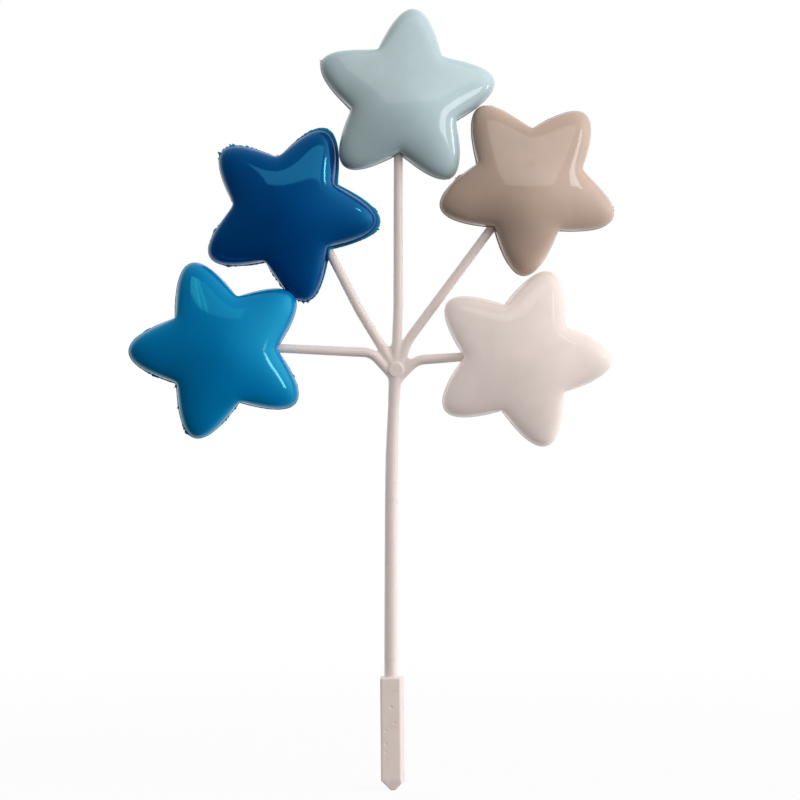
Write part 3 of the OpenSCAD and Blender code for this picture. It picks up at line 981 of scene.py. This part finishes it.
# Lamps: name, pieces they light, azimuth, elevation, width and height in degrees as seen from
# there, brightness, and colour if not white. Each strip lights one star alone. Those on the two
# blue stars are pink, since the blue gloss takes the red out of what it mirrors.
LAMPS = (
    ("softbox", ("stick", "navy", "white"), -1, 36.8, 48.2, 13, 1.9),
    ("sky softbox", ("sky",), 12, 43, 58, 44, 1.5, "#FFF5F0"),
    ("taupe softbox", ("taupe",), 10, 28, 43, 16, 1.9),
    ("aqua softbox", ("aqua",), -19, 36.8, 14, 13, 1.8),
    ("aqua softbox middle", ("aqua",), -8, 36.8, 8, 13, 1.3),
    ("aqua softbox right", ("aqua",), 8, 36.8, 24, 12, 0.7),
    ("left fill", ("stick", "white"), -50, -10, 60, 50, 0.65),
    ("navy strip", ("navy",), 39.5, 26.5, 4.5, 3, 48.0, "#FFB3AD"),
    ("aqua strip", ("aqua",), 46.8, -1.5, 4, 12.6, 33.0, "#FF8D91"),
    ("white strip", ("white",), 41.5, 25.5, 4.5, 8, 4.0),
    ("taupe strip", ("taupe",), 48, 19.5, 8, 9, 6.0),
    ("sky strip", ("sky",), 50, -1, 12, 14, 6.0),
    ("sky edge strip", ("sky",), 77, -2, 10, 10, 9.0),
)
# Metres from a lamp to what it faces, which is its one star's middle or this point
LAMP_AWAY = 0.8
SHARED_MIDDLE = Vector((0.0, 0.0, 100 * MM))

# The camera looks along +Y. Its place and lens are in millimetres, its clipping in metres
CAMERA_PLACE = (1.77, -600, 62.16)
SENSOR_WIDTH, FOCAL_LENGTH = 36.0, 120.2
CLIP_START, CLIP_END = 0.01, 20.0
# Radius of the round floor in metres, and its sides
FLOOR_RADIUS, FLOOR_SIDES = 0.35, 96
# How far back a mirrored direction has to point, as a share, to show the backdrop in full
BACKDROP_FULL = 0.35


def area_lamp(name, lit, middle, azimuth, elevation, wide, high, brightness, colour="#FFFFFF"):
    """Soft rectangular lamp that faces a middle, and lights only the objects in a list.

    Brightness 1 is that of white paper in full light, so the lamp's power is
    brightness * pi * width * height. The strips are set to give no bounced light.
    """
    light = bpy.data.lights.new(name, "AREA")
    light.shape = "RECTANGLE"
    light.size = 2 * LAMP_AWAY * math.tan(math.radians(wide / 2))
    light.size_y = 2 * LAMP_AWAY * math.tan(math.radians(high / 2))
    light.energy = brightness * math.pi * light.size * light.size_y
    light.color = linear(colour)
    if name.endswith("strip"):
        light.cycles.max_bounces = 0
    way = direction(azimuth, elevation)
    lamp = bpy.data.objects.new(name, light)
    lamp.location = middle + LAMP_AWAY * way
    lamp.rotation_euler = (-way).to_track_quat("-Z", "Y").to_euler()
    lamp.visible_camera = False
    receivers = bpy.data.collections.new(f"lit by {name}")
    for piece in lit:
        receivers.objects.link(piece)
    lamp.light_linking.receiver_collection = receivers
    bpy.context.scene.collection.objects.link(lamp)
    return lamp


class TOPPER_OT_stage(bpy.types.Operator):
    """Build the floor, the studio lights, the world and the camera"""

    bl_idname = "topper.stage"
    bl_label = "Studio"

    def execute(self, context):
        scene = context.scene
        scene.view_settings.view_transform = "Standard"
        floor = self.round_floor(FLOOR_RADIUS, FLOOR_SIDES)
        scene.collection.objects.link(floor)
        self.white_world(scene)
        mould, stick = Sizes(scene.topper_star), Sizes(scene.topper_stick)
        for name, pieces, *rest in LAMPS:
            lit = [
                one for one in scene.objects
                if one.type == "MESH" and one.name.split("_")[0] in pieces
            ]
            middle = SHARED_MIDDLE
            if len(pieces) == 1:
                middle = Vector(star_middle(STARS[pieces[0]], mould, stick) * MM)
            area_lamp(name, lit, middle, *rest)
        lens = bpy.data.cameras.new("camera")
        lens.sensor_width = SENSOR_WIDTH
        lens.lens = FOCAL_LENGTH
        lens.clip_start = CLIP_START
        lens.clip_end = CLIP_END
        camera = bpy.data.objects.new("camera", lens)
        camera.location = [place * MM for place in CAMERA_PLACE]
        camera.rotation_euler = (math.pi / 2, 0, 0)
        scene.collection.objects.link(camera)
        scene.camera = camera
        return {"FINISHED"}

    @staticmethod
    def round_floor(radius, sides):
        """Flat disc of studio paper under the spike's point."""
        lowest = CAD_BOX[0][2]
        angle = np.arange(sides) * 2 * math.pi / sides
        rim = np.stack([radius * np.cos(angle), radius * np.sin(angle)], axis=-1)
        mesh = bpy.data.meshes.new("floor")
        mesh.from_pydata([(x, y, lowest) for x, y in rim.tolist()], [], [tuple(range(sides))])
        mesh.materials.append(white_paper(radius))
        return bpy.data.objects.new("floor", mesh)

    @staticmethod
    def white_world(scene):
        """White to the camera, and soft glows round a dark front to the object."""
        world = bpy.data.worlds.new("studio")
        tree = empty_tree(world)
        way = add_node(tree, "TexCoord")["Generated"]
        total = (0.0, 0.0, 0.0)
        for azimuth, elevation, tightness, strength in GLOWS:
            along = add_node(
                tree, "VectorMath", {"operation": "DOT_PRODUCT"},
                (way, direction(azimuth, elevation)),
            )["Value"]
            off = add_node(
                tree, "Math", {"operation": "MULTIPLY_ADD"}, (along, tightness, -tightness)
            )[0]
            bell = add_node(tree, "Math", {"operation": "EXPONENT"}, (off,))[0]
            glow = add_node(
                tree, "VectorMath", {"operation": "SCALE"},
                vector=(strength, strength, strength), scale=bell,
            )[0]
            total = add_node(tree, "VectorMath", {"operation": "ADD"}, (total, glow))[0]
        light = add_node(tree, "Background", color=total)[0]
        white = add_node(tree, "Background", color=(1, 1, 1, 1))[0]
        # Gloss and clear plastic show the white backdrop too, where it really stands: behind
        paths = add_node(tree, "LightPath")
        depth = add_node(tree, "SeparateXYZ", vector=way)["Y"]
        behind = add_node(
            tree, "MapRange", {"interpolation_type": "SMOOTHSTEP"},
            value=depth, from_max=BACKDROP_FULL,
        )["Result"]
        seen = add_node(
            tree, "Math", {"operation": "ADD", "use_clamp": True},
            (paths["Is Glossy Ray"], paths["Is Transmission Ray"]),
        )[0]
        mirrored = add_node(tree, "Math", {"operation": "MULTIPLY"}, (seen, behind))[0]
        shown = add_node(
            tree, "Math", {"operation": "MAXIMUM"}, (paths["Is Camera Ray"], mirrored)
        )[0]
        both = add_node(tree, "MixShader", None, (shown, light, white))[0]
        add_node(tree, "OutputWorld", surface=both)
        scene.world = world


class TOPPER_PT_panel(bpy.types.Panel):
    """Buttons and values of the cake topper"""

    bl_idname = "TOPPER_PT_panel"
    bl_label = "Cake topper"
    bl_space_type = "VIEW_3D"
    bl_region_type = "UI"
    bl_category = "Cake topper"

    def draw(self, context):
        layout = self.layout
        for button in (TOPPER_OT_stick, TOPPER_OT_stars, TOPPER_OT_stage):
            layout.operator(button.bl_idname)
        for name in GROUPS:
            group = getattr(context.scene, name)
            box = layout.box()
            for key in group.__annotations__:
                box.prop(group, key)


GROUPS = {"topper_star": StarSizes, "topper_stick": StickSizes, "topper_finish": Finishes}
CLASSES = (*GROUPS.values(), TOPPER_OT_stick, TOPPER_OT_stars, TOPPER_OT_stage, TOPPER_PT_panel)


def register():
    for one in CLASSES:
        bpy.utils.register_class(one)
    for name, group in GROUPS.items():
        setattr(bpy.types.Scene, name, PointerProperty(type=group))


def unregister():
    for name in GROUPS:
        delattr(bpy.types.Scene, name)
    for one in reversed(CLASSES):
        bpy.utils.unregister_class(one)


def main():
    register()
    bpy.ops.topper.stick()
    bpy.ops.topper.stars()
    bpy.ops.topper.stage()


if __name__ == "__main__":
    main()
